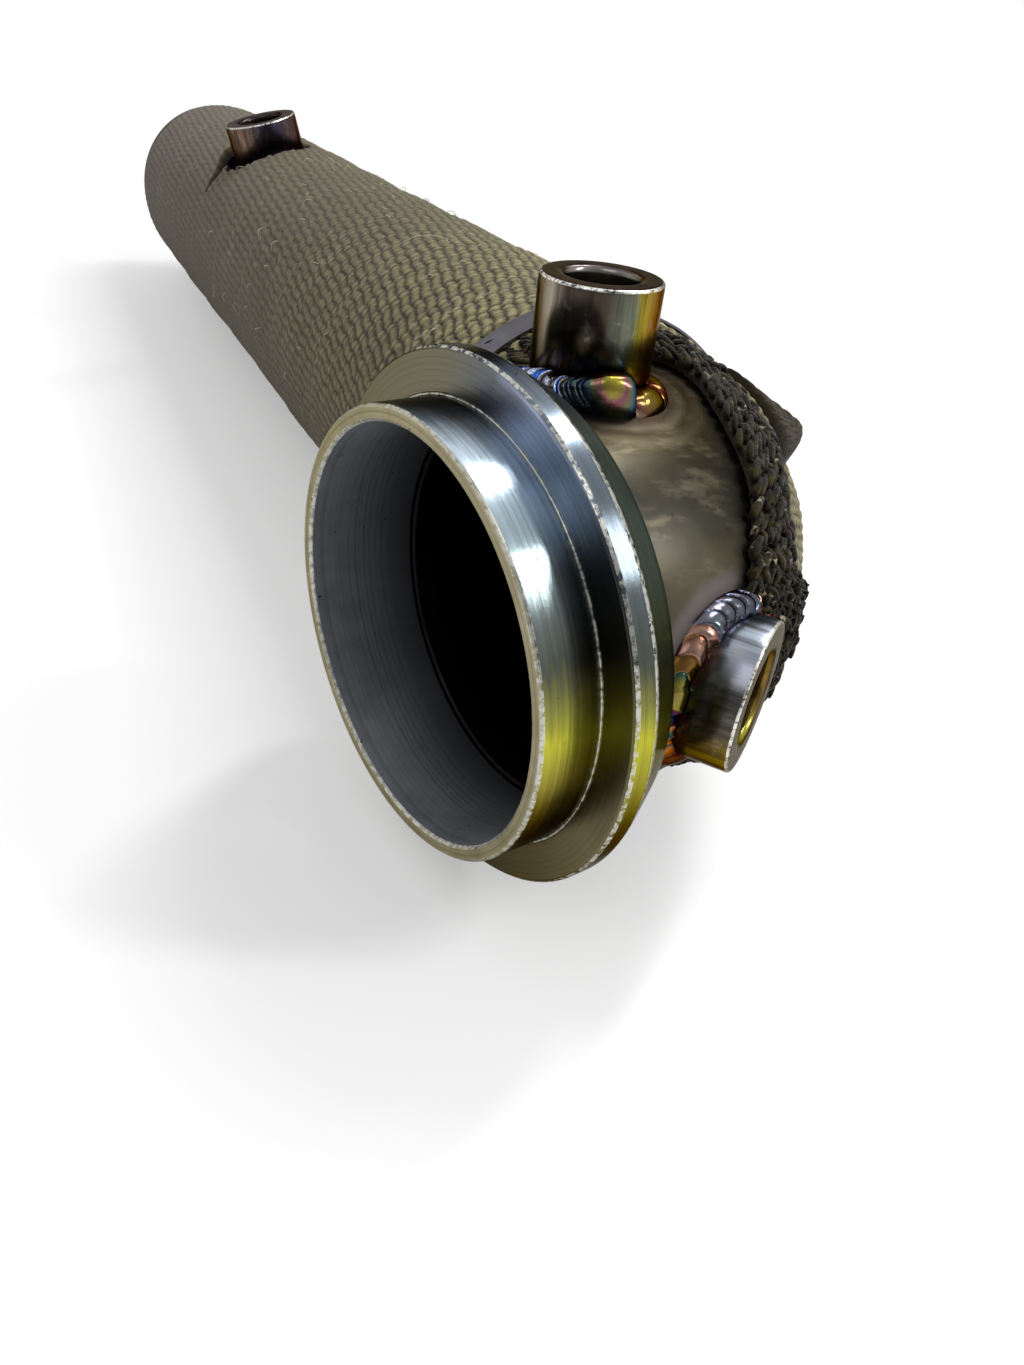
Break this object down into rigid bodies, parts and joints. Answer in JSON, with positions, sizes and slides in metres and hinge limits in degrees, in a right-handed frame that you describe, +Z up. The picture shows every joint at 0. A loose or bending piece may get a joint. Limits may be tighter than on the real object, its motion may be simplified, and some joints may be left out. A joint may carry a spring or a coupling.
{
  "type": "turbocharger downpipe front section",
  "caption": "Flanged exhaust downpipe section with a tight elbow, welded sensor bosses, and a straight pipe under tied heat wrap.",
  "frame": {"origin": "centre of the inlet flange's flat sealing face", "axes": "-Y out of the inlet along the flange's axis, +Z up along the tall sensor boss, -X the way the long pipe runs"},
  "size_m": [0.5329, 0.1881, 0.1091],
  "materials": {
    "turned_steel": "turned",
    "elbow_steel": "satin, heat stained",
    "boss_steel": "turned, heat stained",
    "weld_bead": "rippled, heat coloured",
    "pipe_steel": "satin",
    "heat_wrap": "woven",
    "tie_steel": "rolled"
  },
  "bodies": {
    "root": {"inlet_flange": "turned_steel", "inlet_flange_weld": "weld_bead", "elbow": "elbow_steel", "tall_boss": "boss_steel", "tall_boss_weld": "weld_bead", "side_boss": "boss_steel", "side_boss_weld": "weld_bead", "straight_pipe": "pipe_steel", "pipe_weld": "weld_bead", "rear_boss": "boss_steel", "rear_boss_weld": "weld_bead", "wrap_sleeve": "heat_wrap", "wrap_cuff": "heat_wrap", "wrap_tail": "heat_wrap", "near_tie_strap": "tie_steel", "near_tie_buckle": "tie_steel", "near_tie_ball": "tie_steel", "far_tie_strap": "tie_steel", "far_tie_buckle": "tie_steel", "far_tie_ball": "tie_steel"}
  },
  "joints": []
}
